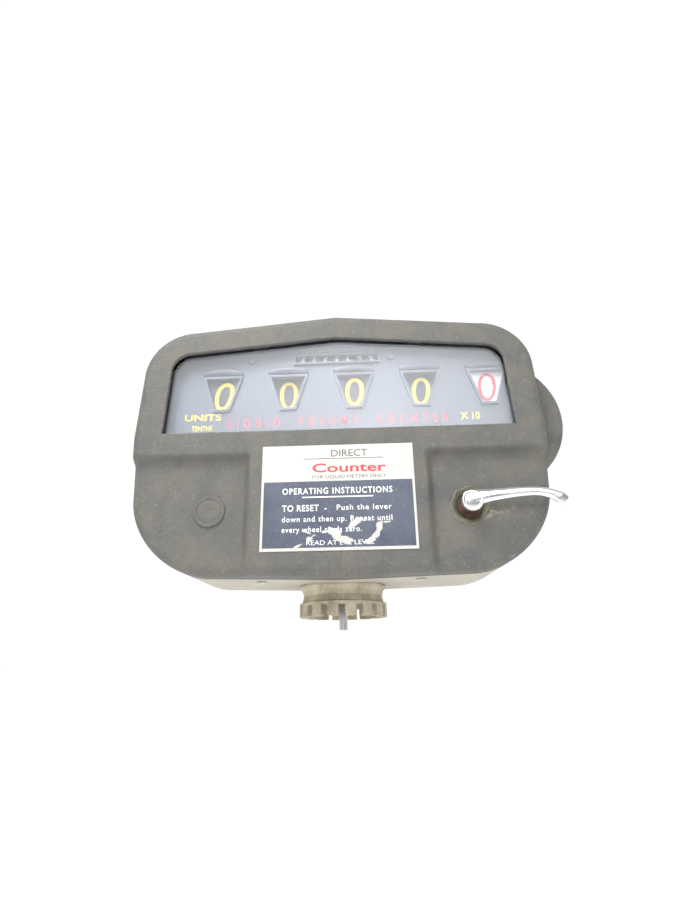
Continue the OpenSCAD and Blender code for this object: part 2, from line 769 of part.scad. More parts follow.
module totalizer_wheel(n) {
    color("#16181c") difference() {
        union() {
            rod_x(tot_y, tot_z, tot_r, tot_x(n) - tot_w / 2, tot_x(n) + tot_w / 2);
            if (n == tot_n) gear_x(tot_y, tot_z, tot_gear_t, tot_gear_m, 180 / tot_gear_t,
                tot_x(n) + tot_w / 2, tot_gear_x + tot_gear_w);
        }
        rod_x(tot_y, tot_z, tot_axle_r + run_gap, -case_w, case_w);
    }
}

// ---------- reset ----------

module reset_bush() {
    p = [lever_x, lever_z];
    color("#8a4f2d") difference() {
        union() {
            rod_y(p, bush_flange_r, pocket_y + 3, pocket_y + 6);
            rod_y(p, bush_sleeve_r, pocket_y + 6, mask_y + 5);
        }
        rod_y(p, lever_shaft_r + run_gap, pocket_y, mask_y + 6);
    }
}

module reset_lever() {
    hub = [lever_x - 1, lever_z];
    tip = hub + [lever_len, 0];
    bend = tip + [-16, 5.6];
    y1 = lever_y + lever_t;
    color("#d9dadb") difference() {
        union() {
            rod_y(hub, 7.3, lever_y, y1);
            rod_y(tip, 4.4, lever_y + 0.6, y1 - 0.6);
            rod_y(bend, 2.8, lever_y + 0.6, y1 - 0.6);
            along_y(lever_y + 0.6, y1 - 0.6) polygon([hub + [0, 7.3], hub + [3, 0], bend + [0, -2.8],
                tip + [-1.6, -4.1], tip + [1.6, 4.1], bend + [0, 2.8]]);
        }
        rod_y([lever_x, lever_z], lever_shaft_r, lever_y + 1.5, y1 + 1);
    }
}

module reset_shaft() {
    color("silver") rod_y([lever_x, lever_z], lever_shaft_r, lever_y + 1.5, layer_p + 2);
}

// Toothed quadrant on the lever shaft, behind the front plate
module reset_sector() {
    p = [lever_x, lever_z];
    span = 52;
    color("#c8a860") difference() {
        union() {
            rod_y(p, 8, layer_f, layer_f + coarse_t);
            intersection() {
                gear_y(p, sector_t, reset_m, 180, layer_f, layer_f + coarse_t);
                along_y(layer_f, layer_f + coarse_t) translate(p)
                    polygon([[0, 0], 40 * [-cos(span), sin(span)], [-40, 0], 40 * [-cos(span), -sin(span)]]);
            }
        }
        rod_y(p, lever_shaft_r, layer_f - 1, layer_f + 6);
    }
}

module reset_pinion() {
    color("#c8a860") union() {
        rod_y(reset_arbor, spindle_r, plate_y - 2, layer_f + 8);
        gear_y(reset_arbor, reset_pinion_t, reset_m, 180 / reset_pinion_t, layer_f, layer_f + coarse_t);
    }
}

// Coil of round wire along Y, swept as one tube
spring_wire = 0.7;
spring_coil_r = 5.6;
spring_turns = 3;
spring_steps = 16;
spring_sides = 8;
function coil_ring(i, y0, y1) = let (
    a = 360 * i / spring_steps,
    y = y0 + (y1 - y0) * i / (spring_turns * spring_steps))
    [for (k = [0 : spring_sides - 1]) let (
        b = 360 * k / spring_sides,
        r = spring_coil_r + spring_wire * cos(b))
        [lever_x + r * cos(a), y + spring_wire * sin(b), lever_z + r * sin(a)]];

module return_spring() {
    y0 = mask_y + 5 + spring_wire + 0.1;
    y1 = plate_y - spring_wire - 0.1;
    rings = spring_turns * spring_steps;
    s = spring_sides;
    color("#777b80") polyhedron(
        points = [for (i = [0 : rings]) each coil_ring(i, y0, y1)],
        faces = concat([[for (k = [0 : s - 1]) k]],
            [for (i = [0 : rings - 1], k = [0 : s - 1])
                [i * s + k, (i + 1) * s + k, (i + 1) * s + (k + 1) % s, i * s + (k + 1) % s]],
            [[for (k = [s - 1 : -1 : 0]) rings * s + k]]));
}

front_cover();
window_glass();
glass_gasket();
glass_clips();
clip_screws();
nameplate();
blanking_plug();
mask_plate();
mask_posts();
mask_screws();
front_plate();
rear_plate();
plate_pillars();
pillar_screws();
shaft_brackets();
base_casting();
rear_housing();
cover_screws();
frame_screws();
collar();
collar_screws();
drive_bush();
reset_bush();
return_spring();
totalizer_frame();
totalizer_axle();
drive_shaft();
drive_bevels();
cross_shaft();
cross_bevels();
lay_shaft();
jack_shaft();
jack_bevel();
totalizer_idler();
number_disc(1);  // number_disc_1
number_disc(2);  // number_disc_2
number_disc(3);  // number_disc_3
number_disc(4);  // number_disc_4
number_disc(5);  // number_disc_5
disc_spindle(1);  // disc_spindle_1
disc_spindle(2);  // disc_spindle_2
disc_spindle(3);  // disc_spindle_3
disc_spindle(4);  // disc_spindle_4
disc_spindle(5);  // disc_spindle_5
transfer_gear(1);  // transfer_gear_1
transfer_gear(2);  // transfer_gear_2
transfer_gear(3);  // transfer_gear_3
transfer_gear(4);  // transfer_gear_4
totalizer_wheel(1);  // totalizer_wheel_1
totalizer_wheel(2);  // totalizer_wheel_2
totalizer_wheel(3);  // totalizer_wheel_3
totalizer_wheel(4);  // totalizer_wheel_4
totalizer_wheel(5);  // totalizer_wheel_5
totalizer_wheel(6);  // totalizer_wheel_6
totalizer_wheel(7);  // totalizer_wheel_7
reset_lever();
reset_shaft();
reset_sector();
reset_pinion();
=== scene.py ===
# %% [markdown]
# # Large-numeral reset counter head
# A liquid meter turns a thin shaft, and this head on top of it counts the turns on five big
# number discs behind a window. The solid parts come from the CAD model and are loaded first, so
# every surface made here has an exact place to go to. All lengths below are metres, and `mm`
# turns the sizes a workshop drawing would give into them.

# %% Load the counter head's frame
import json
import math
import bpy
import bmesh
import numpy as np
from mathutils import Matrix, Vector


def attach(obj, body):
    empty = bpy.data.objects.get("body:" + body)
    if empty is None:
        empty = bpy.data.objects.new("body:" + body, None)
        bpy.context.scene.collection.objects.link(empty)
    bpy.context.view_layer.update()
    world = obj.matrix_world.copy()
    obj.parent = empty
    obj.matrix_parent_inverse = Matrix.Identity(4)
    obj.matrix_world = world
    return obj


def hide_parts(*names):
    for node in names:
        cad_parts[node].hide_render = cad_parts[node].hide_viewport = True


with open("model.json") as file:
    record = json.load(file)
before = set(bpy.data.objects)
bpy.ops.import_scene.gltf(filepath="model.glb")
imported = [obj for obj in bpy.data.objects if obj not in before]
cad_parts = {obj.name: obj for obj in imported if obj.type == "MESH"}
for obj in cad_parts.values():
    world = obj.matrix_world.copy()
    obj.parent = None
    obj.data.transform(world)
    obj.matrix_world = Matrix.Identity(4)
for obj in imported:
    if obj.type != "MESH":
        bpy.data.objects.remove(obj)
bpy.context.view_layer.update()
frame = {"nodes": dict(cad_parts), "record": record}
mm = 0.001
nodes = frame["nodes"]

# %% [markdown]
# ## Camera
# The head is seen from low in front, looking slightly up at its face, so the underside and the
# collar show as well. The camera's three directions are worked out from its pitch, yaw and roll
# and written as the columns of its matrix. A fixed matrix is easier to check than a constraint.

# %% Place the camera
def directions(pitch, yaw, roll):
    """Right, up and back: forward comes from yaw and pitch, then right and up turn by the roll."""
    level = math.cos(pitch)
    forward = np.array([math.sin(yaw) * level, math.cos(yaw) * level, math.sin(pitch)])
    side = np.array([math.cos(yaw), -math.sin(yaw), 0])
    top = np.cross(side, forward)
    right = math.cos(roll) * side + math.sin(roll) * top
    up = -math.sin(roll) * side + math.cos(roll) * top
    return right, up, -forward


pitch_yaw_roll = np.radians([20.62, -2.19, -0.89])
camera = bpy.data.objects.new("camera", bpy.data.cameras.new("camera"))
bpy.context.scene.collection.objects.link(camera)
turn = np.eye(4)
turn[:3, 0], turn[:3, 1], turn[:3, 2] = directions(*pitch_yaw_roll)
turn[:3, 3] = np.array([14.07, -433.3, -25.7]) * mm
camera.matrix_world = Matrix(turn.tolist())
camera.data.lens = 21.64
camera.data.clip_start = 0.01
bpy.context.scene.camera = camera
print("camera at", [round(v, 3) for v in camera.location])

# %% [markdown]
# ## Studio
# The head stands over a white floor in a bright room that is darker on the camera's side, so that
# chrome has something to mirror. A low wide softbox in front and above lights the face, and the
# window glass mirrors it as a pale haze. Its grid narrows the light, so the haze fades sideways.
# A lamp close above makes the relief show. The room's brightness follows the way a ray goes, and
# the camera itself always sees white.

# %% Light the studio
def softbox(name, place, aim, wide, high, power, tint=(1, 1, 1)):
    """A rectangular lamp at place that faces aim."""
    lamp = bpy.data.lights.new(name, "AREA")
    lamp.shape, lamp.size, lamp.size_y = "RECTANGLE", wide, high
    lamp.energy, lamp.color = power, tint
    thing = bpy.data.objects.new(name, lamp)
    bpy.context.scene.collection.objects.link(thing)
    thing.location = place
    thing.rotation_euler = (Vector(aim) - Vector(place)).to_track_quat("-Z", "Y").to_euler()
    return thing


front = softbox("front_softbox", (0.08, -1.7, 0.84), (0, -0.05, 0.12), 2.2, 0.72, 4.6, (0.965, 0.965, 1))
front.data.spread = math.radians(75)
softbox("upper_lamp", (-0.16, -0.34, 0.56), (-0.03, -0.06, 0.18), 0.24, 0.24, 2.9)
world = bpy.data.worlds.new("white_room")
world.use_nodes = True
sky = world.node_tree
way = sky.nodes.new("ShaderNodeTexCoord").outputs["Generated"]
split = sky.nodes.new("ShaderNodeSeparateXYZ")
ramp = sky.nodes.new("ShaderNodeMapRange")
sky.links.new(way, split.inputs[0])
sky.links.new(split.outputs["Y"], ramp.inputs["Value"])
for key, value in (("From Min", -0.7), ("From Max", 0.3), ("To Min", 0.3), ("To Max", 1.06)):
    ramp.inputs[key].default_value = value
seen = sky.nodes.new("ShaderNodeLightPath").outputs["Is Camera Ray"]
power = sky.nodes.new("ShaderNodeMath")
power.operation = "MAXIMUM"
sky.links.new(ramp.outputs[0], power.inputs[0])
sky.links.new(seen, power.inputs[1])
sky.links.new(power.outputs[0], sky.nodes["Background"].inputs["Strength"])
sky.nodes["Background"].inputs["Color"].default_value = (1, 1, 1, 1)
bpy.context.scene.world = world
bpy.context.scene.view_settings.view_transform = "Standard"

# %% [markdown]
# ## Making surfaces
# Every new piece is a grid of points worked out by a formula of two parameters, `u` along it and
# `v` around it. One helper turns such a grid into a mesh. It joins the last column to the first,
# joins or closes the two ends, and turns the faces outwards by checking the sign of the volume.

# %% Turn a grid of points into a piece
def put(name, points, faces, material, body, smooth=True):
    """A mesh object from an (n, 3) array of points and a list of face index arrays."""
    mesh = bpy.data.meshes.new(name)
    mesh.from_pydata(points.tolist(), [], [f.tolist() for f in faces])
    mesh.polygons.foreach_set("use_smooth", np.full(len(mesh.polygons), smooth))
    mesh.materials.append(material)
    mesh.update()
    piece = bpy.data.objects.new(name, mesh)
    bpy.context.scene.collection.objects.link(piece)
    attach(piece, body)
    return piece


def grid_faces(rows, cols, wrap_u):
    """Quads between neighbouring grid points, as indices. Columns always join up, rows if asked."""
    i = np.arange(rows if wrap_u else rows - 1)[:, None]
    j = np.arange(cols)[None, :]
    i2, j2 = (i + 1) % rows, (j + 1) % cols
    quads = [i * cols + j, i2 * cols + j, i2 * cols + j2, i * cols + j2]
    return np.stack([np.broadcast_to(q, (i.shape[0], j.shape[1])) for q in quads], -1).reshape(-1, 4)


def outward(points, quads):
    """Reverses the quads if their signed volume, the sum of a . (b x c) + a . (c x d), is negative."""
    a, b, c, d = (points[quads[:, k]] for k in range(4))
    volume = (a * np.cross(b, c)).sum() + (a * np.cross(c, d)).sum()
    return quads if volume > 0 else quads[:, ::-1], volume > 0


def surface(name, grid, material, body, wrap_u=False):
    """A piece from grid[u, v] of xyz points. Ends in u that don't join up get a flat cap each."""
    rows, cols = grid.shape[:2]
    points = grid.reshape(-1, 3)
    quads, kept = outward(points, grid_faces(rows, cols, wrap_u))
    faces = list(quads)
    if not wrap_u:
        first, last = np.arange(cols), (rows - 1) * cols + np.arange(cols)
        faces += [first, last[::-1]] if not kept else [first[::-1], last]
    piece = put(name, points, faces, material, body)
    print(f"{name}: {len(quads)} quads")
    return piece


def turned(name, outline, centre, material, body, steps=96):
    """A lathe shape: the closed outline of (radius, depth) pairs goes round a Y axis at centre."""
    r, h = np.array(outline, float).T
    a = np.linspace(0, 2 * math.pi, steps, endpoint=False)[:, None]
    across, along = r * np.cos(a), r * np.sin(a)
    grid = np.stack([centre[0] + across, np.broadcast_to(h, across.shape), centre[1] + along], -1)
    return surface(name, grid * mm, material, body, wrap_u=True)


def creased(piece, degrees=35):
    """Keeps edges sharper than this angle crisp and shades the rest smoothly."""
    chosen = {"object": piece, "active_object": piece, "selected_editable_objects": [piece]}
    with bpy.context.temp_override(**chosen):
        bpy.ops.object.shade_smooth_by_angle(angle=math.radians(degrees), keep_sharp_edges=False)
    return piece


def rubbed(piece, values):
    """Stores how rubbed each point is, where the worn finishes can read it."""
    rub = piece.data.attributes.new("rub", "FLOAT", "POINT")
    rub.data.foreach_set("value", values.astype(np.float32))


# %% [markdown]
# ## Effects shared by the finishes
# Paint on an old casting shows three things over and over: a fine grain, slow stains, and places
# where edges have rubbed through. Each is a node group with its own inputs, so a finish only sets
# how strong it is. All of them read Object coordinates, so a pattern stays with its piece.

# %% Build the effect groups
def node(tree, kind, settings=None, **inputs):
    """Adds a shader node. An input is a value, or another node's output to link."""
    made = tree.nodes.new("ShaderNode" + kind)
    for key, value in (settings or {}).items():
        setattr(made, key, value)
    for key, value in inputs.items():
        socket = made.inputs[int(key[1:]) if key[0] == "_" else key.replace("_", " ")]
        if isinstance(value, bpy.types.NodeSocket):
            tree.links.new(value, socket)
        else:
            socket.default_value = value
    return made


def group(name, inputs, outputs):
    """An empty node group with the given float or vector inputs and float outputs."""
    tree = bpy.data.node_groups.new(name, "ShaderNodeTree")
    for label, value in inputs.items():
        kind = "NodeSocketVector" if value is None else "NodeSocketFloat"
        socket = tree.interface.new_socket(name=label, in_out="INPUT", socket_type=kind)
        if value is not None:
            socket.default_value = value
    for label in outputs:
        tree.interface.new_socket(name=label, in_out="OUTPUT", socket_type="NodeSocketFloat")
    return tree, tree.nodes.new("NodeGroupInput").outputs, tree.nodes.new("NodeGroupOutput").inputs


def maths_node(tree, operation, first, second):
    """One Math node."""
    return node(tree, "Math", {"operation": operation}, _0=first, _1=second).outputs[0]


def noise_node(tree, place, scale, detail, rough, **more):
    """One noise texture."""
    made = node(tree, "TexNoise", Vector=place, Scale=scale, Detail=detail, Roughness=rough, **more)
    return made.outputs[0]


def range_node(tree, value, low, high):
    """Stretches the range from low to high over 0 to 1, clamped."""
    return node(tree, "MapRange", _0=value, _1=low, _2=high).outputs[0]


grain_inputs = {"Place": None, "Size": 0.001, "Crackle": 0.5}
tree, given, result = group("fine_grain", grain_inputs, ["Height", "Speck"])
scale = maths_node(tree, "DIVIDE", 1.0, given["Size"])
cells = node(tree, "TexVoronoi", {"feature": "F1"}, Vector=given["Place"], Scale=scale, Randomness=1.0)
fuzz = noise_node(tree, given["Place"], scale, 3.0, 0.6)
mixed = node(tree, "Mix", {"data_type": "FLOAT"}, _0=given["Crackle"], _2=fuzz,
             _3=cells.outputs["Distance"])
tree.links.new(mixed.outputs[0], result["Height"])
dots = noise_node(tree, given["Place"], maths_node(tree, "MULTIPLY", scale, 0.45), 2.0, 0.75)
tree.links.new(range_node(tree, dots, 0.58, 0.72), result["Speck"])

tree, given, result = group("slow_stain", {"Place": None, "Size": 0.04}, ["Stain"])
scale = maths_node(tree, "DIVIDE", 1.0, given["Size"])
wide = noise_node(tree, given["Place"], scale, 5.0, 0.62, Distortion=0.4)
tree.links.new(range_node(tree, wide, 0.33, 0.67), result["Stain"])

edge_inputs = {"Place": None, "Edge": 0.0, "Size": 0.006, "Reach": 0.5}
tree, given, result = group("rubbed_edge", edge_inputs, ["Mask"])
patch = noise_node(tree, given["Place"], maths_node(tree, "DIVIDE", 1.0, given["Size"]), 6.0, 0.7)
total = maths_node(tree, "ADD", patch, maths_node(tree, "MULTIPLY", given["Edge"], given["Reach"]))
tree.links.new(range_node(tree, total, 0.78, 0.9), result["Mask"])
print("effect groups:", [g.name for g in bpy.data.node_groups])


# %% [markdown]
# ## Finishes
# A finish is a Principled shader fed by those groups: two tones mixed by the stain, light specks
# from the grain, a worn tone where the piece's own `rub` attribute says its edges are, and the
# grain again as a bump.

# %% Make a finish from the shared effects
def blend_colour(tree, mask, first, second):
    """Mixes two colours by a mask."""
    made = node(tree, "Mix", {"data_type": "RGBA"}, _0=mask)
    for index, colour in ((6, first), (7, second)):
        if isinstance(colour, bpy.types.NodeSocket):
            tree.links.new(colour, made.inputs[index])
        else:
            made.inputs[index].default_value = (*colour, 1)
    return made.outputs[2]


def use(tree, name, **inputs):
    """Places one of the effect groups and returns its outputs."""
    made = tree.nodes.new("ShaderNodeGroup")
    made.node_tree = bpy.data.node_groups[name]
    for key, value in inputs.items():
        if isinstance(value, bpy.types.NodeSocket):
            tree.links.new(value, made.inputs[key])
        else:
            made.inputs[key].default_value = value
    return made.outputs


bare_rough = 0.45


def finish(name, tones, rough, metal=0.0, grain=0.001, crackle=0.5, bump=0.3, relief=0.0002,
           stain=0.04, speck=None, worn=None, reach=0.3, chip=0.006, coat=0.0):
    """A procedural finish. tones are its dark and light colour, worn the colour under it."""
    material = bpy.data.materials.new(name)
    material.use_nodes = True
    tree = material.node_tree
    shader = tree.nodes["Principled BSDF"]
    place = tree.nodes.new("ShaderNodeTexCoord").outputs["Object"]
    fine = use(tree, "fine_grain", Place=place, Size=grain, Crackle=crackle)
    blot = use(tree, "slow_stain", Place=place, Size=stain)["Stain"]
    colour = blend_colour(tree, blot, tones[0], tones[1])
    roughness = node(tree, "MapRange", _0=blot, _3=rough[0], _4=rough[1]).outputs[0]
    if speck:
        colour = blend_colour(tree, maths_node(tree, "MULTIPLY", fine["Speck"], speck[1]), colour, speck[0])
    if worn:
        edge = node(tree, "Attribute", {"attribute_name": "rub"}).outputs["Fac"]
        bare = use(tree, "rubbed_edge", Place=place, Edge=edge, Size=chip, Reach=reach)["Mask"]
        colour = blend_colour(tree, bare, colour, worn)
        roughness = node(tree, "Mix", {"data_type": "FLOAT"}, _0=bare, _2=roughness,
                         _3=bare_rough).outputs[0]
    tree.links.new(colour, shader.inputs["Base Color"])
    tree.links.new(roughness, shader.inputs["Roughness"])
    lift = node(tree, "Bump", Strength=bump, Distance=relief, Height=fine["Height"])
    tree.links.new(lift.outputs[0], shader.inputs["Normal"])
    shader.inputs["Metallic"].default_value = metal
    shader.inputs["Coat Weight"].default_value = coat
    return material


wrinkle = finish("wrinkle_paint", ((0.098, 0.1, 0.098), (0.158, 0.15, 0.126)), (0.55, 0.8),
                 grain=0.0011, crackle=0.8, bump=0.8, relief=0.0005, stain=0.022,
                 speck=((0.25, 0.235, 0.19), 0.45), worn=(0.27, 0.255, 0.185), reach=0.24, chip=0.004)
bare_khaki = finish("rubbed_khaki", ((0.1, 0.097, 0.062), (0.22, 0.21, 0.14)), (0.45, 0.65),
                    grain=0.0008, bump=0.25, stain=0.008)
khaki = finish("khaki_casting", ((0.36, 0.335, 0.27), (0.5, 0.47, 0.4)), (0.5, 0.75), grain=0.0013,
               bump=0.35,
               relief=0.0004, stain=0.03, speck=((0.2, 0.18, 0.14), 0.5), worn=(0.62, 0.6, 0.55))
collar_iron = finish("collar_iron", ((0.27, 0.225, 0.15), (0.56, 0.5, 0.39)), (0.4, 0.7), 0.35,
                     grain=0.0012,
                     bump=0.45, relief=0.0004, stain=0.014, speck=((0.6, 0.57, 0.5), 0.55))
chrome = finish("chrome", ((0.72, 0.73, 0.74), (0.88, 0.89, 0.9)), (0.14, 0.26), 1.0, grain=0.0006,
                bump=0.04, stain=0.012, speck=((0.5, 0.48, 0.42), 0.35))
mask_enamel = finish("mask_enamel", ((0.075, 0.085, 0.115), (0.11, 0.122, 0.155)), (0.3, 0.45),
                     grain=0.0012, crackle=0.2, bump=0.08, stain=0.03, coat=0.2)
disc_black = finish("disc_black", ((0.02, 0.022, 0.03), (0.04, 0.043, 0.055)), (0.4, 0.6),
                    grain=0.0008, bump=0.05, stain=0.02)
disc_white = finish("disc_white", ((0.78, 0.77, 0.74), (0.86, 0.85, 0.83)), (0.4, 0.55),
                    grain=0.0008, bump=0.04, stain=0.02)
yellow_ink = finish("yellow_ink", ((0.86, 0.62, 0.03), (0.95, 0.74, 0.06)), (0.4, 0.5),
                    grain=0.0006, bump=0.08, stain=0.006)
red_ink = finish("red_ink", ((0.62, 0.03, 0.035), (0.75, 0.06, 0.06)), (0.4, 0.5),
                 grain=0.0006, bump=0.08, stain=0.006)
white_ink = finish("white_ink", ((0.82, 0.82, 0.8), (0.92, 0.92, 0.9)), (0.4, 0.55),
                   grain=0.0006, bump=0.06, stain=0.006)
dark_ink = finish("dark_ink", ((0.05, 0.055, 0.06), (0.12, 0.12, 0.13)), (0.4, 0.55),
                  grain=0.0005, bump=0.05, stain=0.004)
steel = finish("bright_steel", ((0.42, 0.42, 0.42), (0.62, 0.62, 0.61)), (0.22, 0.42), 1.0,
               grain=0.0005, bump=0.08, stain=0.01)
brass = finish("gear_brass", ((0.5, 0.36, 0.13), (0.72, 0.54, 0.24)), (0.25, 0.45), 1.0,
               grain=0.0005, bump=0.08, stain=0.012)
bronze = finish("bronze", ((0.38, 0.22, 0.1), (0.56, 0.36, 0.18)), (0.3, 0.5), 1.0,
                grain=0.0006, bump=0.1, stain=0.012)
# the bush's red bronze is partly painted shade: its dark tone, nearly black, stands in for the shadow under the
# lever's hub, and the stain mixes it at random with the metal's own reddish brown
red_bronze = finish("red_bronze", ((0.03, 0.022, 0.015), (0.17, 0.066, 0.038)), (0.4, 0.6), 0.2,
                    grain=0.0007, bump=0.2, stain=0.006)
aluminium = finish("plate_aluminium", ((0.5, 0.5, 0.49), (0.66, 0.66, 0.64)), (0.35, 0.55), 1.0,
                   grain=0.0006, bump=0.08, stain=0.02)
cast_grey = finish("cast_brackets", ((0.2, 0.2, 0.19), (0.32, 0.32, 0.3)), (0.5, 0.7), 0.4,
                   grain=0.0012, bump=0.3, stain=0.02)
rubber = finish("gasket_rubber", ((0.012, 0.012, 0.012), (0.03, 0.03, 0.03)), (0.6, 0.8),
                grain=0.0005, bump=0.1, stain=0.01)
black_screw = finish("black_screws", ((0.04, 0.04, 0.04), (0.1, 0.1, 0.095)), (0.35, 0.55), 0.6,
                     grain=0.0005, bump=0.1, stain=0.004)
foil = finish("nameplate_foil", ((0.55, 0.54, 0.5), (0.64, 0.63, 0.585)), (0.35, 0.5), grain=0.0008,
              bump=0.05, stain=0.018, speck=((0.45, 0.42, 0.36), 0.25))
navy = finish("navy_print", ((0.05, 0.062, 0.1), (0.1, 0.115, 0.15)), (0.32, 0.5), grain=0.0008,
              bump=0.06, stain=0.03, speck=((0.3, 0.31, 0.33), 0.35))
print("finishes:", len(bpy.data.materials))

# %% [markdown]
# ## Window glass
# Clear glass bends light, and a renderer finds it hard to light what lies behind. Its shader
# therefore lets lamp light straight through: Light Path asks whether a ray is only looking for a
# lamp, and then a transparent shader takes the glass's place.

# %% Make the glass
glass = bpy.data.materials.new("window_glass")
glass.use_nodes = True
tree = glass.node_tree
shader = tree.nodes["Principled BSDF"]
shader.inputs["Base Color"].default_value = (0.93, 0.96, 0.98, 1)
shader.inputs["Roughness"].default_value = 0.03
shader.inputs["IOR"].default_value = 1.5
shader.inputs["Transmission Weight"].default_value = 1.0
shadow = tree.nodes.new("ShaderNodeLightPath").outputs["Is Shadow Ray"]
through = node(tree, "BsdfTransparent", Color=(0.9, 0.92, 0.93, 1)).outputs[0]
both = node(tree, "MixShader", _0=shadow, _1=shader.outputs[0], _2=through)
tree.links.new(both.outputs[0], tree.nodes["Material Output"].inputs["Surface"])

# %% [markdown]
# ## The case outline
# Cover, housing and base all follow one outline: a soft foot corner, a bulging side, a rounder
# shoulder and a low roof. It is worked out once as a ring of points at any distance inside the
# edge, always with the same number of points, so that rings at different distances join up.

# %% Work out the case's rings
counts = (58, 54, 28, 32, 38, 70)          # points along each part of the right half


def stretch(a, b, n):
    """n points from a towards b, without b."""
    t = np.linspace(0, 1, n, endpoint=False)[:, None]
    return np.array(a) * (1 - t) + np.array(b) * t


def bend(centre, radius, start, power, n):
    """n points of a quarter of a superellipse from start degrees on, without its last point."""
    a = np.radians(start + np.linspace(0, 90, n, endpoint=False))
    c, s = np.cos(a), np.sin(a)
    return np.array(centre) + radius * np.stack([np.sign(c) * abs(c) ** (2 / power),
                                                 np.sign(s) * abs(s) ** (2 / power)], 1)


def both_sides(half):
    """A right half ring, bottom centre to top centre, with its mirror image after it."""
    return np.concatenate([half, (half * [-1, 1])[:0:-1]])


def case_ring(d):
    """The case's edge moved in by d: bottom, foot corner, side, bulge, shoulder arc and roof."""
    n = counts
    return both_sides(np.concatenate([
        stretch((0, 22.6 + d), (94, 25.2 + d), n[0]), bend((94, 81.2), 56 - d, -90, 1.8, n[1]),
        stretch((150 - d, 81.2), (152.5 - d, 126), n[2]), stretch((152.5 - d, 126), (150 - d, 178), n[3]),
        bend((111, 178), 39 - d, 0, 2, n[4]), stretch((111, 217 - d), (0, 227 - d), n[5]), [[0, 227 - d]]]))


def window_ring(d):
    """The window's edge moved out by d, with as many points on each part as the case ring."""
    n = counts
    return both_sides(np.concatenate([
        stretch((0, 128.6 - d), (62, 128.6 - d), n[0]), stretch((62, 128.6 - d), (118, 128.6 - d), n[1]),
        stretch((118, 128.6 - d), (130 + d, 128.6 - d), n[2]),
        stretch((130 + d, 128.6 - d), (127.5 + d, 180.5), n[3]),
        bend((112.5, 180.5), 15 + d, 0, 2, n[4]), stretch((112.5, 195.5 + d), (0, 205.5 + d), n[5]),
        [[0, 205.5 + d]]]))


ring_points = len(case_ring(0))
print("points in a ring:", ring_points)

# %% [markdown]
# ## Front cover
# The cover is one iron casting in black wrinkle paint: a raised surround and a middle column, and
# two sunken pockets that run out over the lower corners. It is a closed sheet of rings: from the
# window's inner lip over the face to the case edge, round it, back along the side to the seam,
# and home along the inside. The depth of the face is a smooth function of where a point is.

# %% Shape the front cover
face_y, pocket_y, lip_y, seam_y = -69.0, -63.0, -66.0, -44.0
lever_at, plug_at = (92.0, 69.8), (-92.0, 69.8)


def smooth(t):
    """Rises from 0 to 1 with level ends."""
    t = np.clip(t, 0, 1)
    return t * t * (3 - 2 * t)


def pocket_share(x, z):
    """0 on the raised face and 1 on a pocket's floor: the softened smaller of two ramps."""
    a, b = (abs(x) - 62) / 6, (112 - z) / 6
    return -np.log(np.exp(-6 * a) + np.exp(-6 * b)) / 6


def face_depth(x, z):
    """Depth of the cover's face. The seat of the lever's bush is sunk under its own rim."""
    y = face_y + (pocket_y - face_y) * smooth(pocket_share(x, z))
    r = np.hypot(x - lever_at[0], z - lever_at[1])
    seat = np.interp(r, [10.2, 10.7, 12.1, 12.8], [-57.0, -61.2, -61.2, pocket_y])
    return np.where(r < 12.8, np.maximum(y, seat), y)


def face_rub(x, z):
    """How much the face is rubbed: along the pockets' brinks, near the lever's sweep and at the hole."""
    q = pocket_share(x, z)
    brink = 0.75 * np.exp(-((q - 0.02) / 0.22) ** 2)
    reach = smooth((x - 96) / 6) * smooth((146 - x) / 34)
    sweep = 1.3 * np.exp(-((z - 61.5 - 0.2 * (x - 96)) / (1.6 + 3.2 * reach)) ** 2) * reach
    r = np.hypot(x - lever_at[0], z - lever_at[1])
    return brink + sweep + 0.8 * np.exp(-((r - 14) / 1.6) ** 2)


def cover_rows():
    """Rings of the cover in order, each with its depth, its rub and its place."""
    rows = []

    def ring(points, y, rub=0.0):
        rows.append((points, np.broadcast_to(np.asarray(y, float), len(points)),
                     np.broadcast_to(rub, len(points))))

    ring(window_ring(0), lip_y)
    ring(window_ring(0), -67.7, 0.1)
    for a in np.radians([0, 30, 60, 90]):
        ring(window_ring(1.2 * (1 - math.cos(a))), -67.8 - 1.2 * math.sin(a), 0.55)
    inner, outer = window_ring(1.2), case_ring(7)
    for t in np.linspace(0, 1, 104)[1:]:
        p = inner * (1 - t) + outer * t
        ring(p, face_depth(*p.T), face_rub(*p.T) + 0.25 * np.exp(-(np.hypot(*(p - inner).T) / 1.5) ** 2))
    for a in np.radians(np.linspace(0, 90, 11))[1:]:
        p = case_ring(7 * (1 - math.sin(a)))
        ring(p, face_depth(*outer.T) + 7 * (1 - math.cos(a)), 0.25 + 0.55 * math.sin(2 * a) ** 3)
    for d, y in ((0, -51), (0, -49.6), (0.8, -49.2), (0.8, -47.6), (0, -47.2), (0, -45), (0.5, -44.1),
                 (4, -44), (4, -58.5)):
        ring(case_ring(d), y, 0.5 if -50 < y < -44.5 else 0.1)
    for t in (0.25, 0.5, 0.75):
        ring(case_ring(4) * (1 - t) + window_ring(8) * t, -58.5)
    ring(window_ring(8), -58.5)
    ring(window_ring(4.6), lip_y)
    return rows


rows = cover_rows()
grid = np.stack([np.stack([p[:, 0], y, p[:, 1]], 1) for p, y, _ in rows]) * mm
cover = surface("cover_casting", grid, wrinkle, "head", wrap_u=True)
rubbed(cover, np.concatenate([r for _, _, r in rows]))
creased(cover, 40)
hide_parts("front_cover")

# %% [markdown]
# The last number disc is too large for the case, so the casting bulges at the right in a round
# blister about that disc's own axis. Only an arc of it shows. It is a profile with a rounded
# front edge, swept round part of a circle, and its ends are buried in the cover.

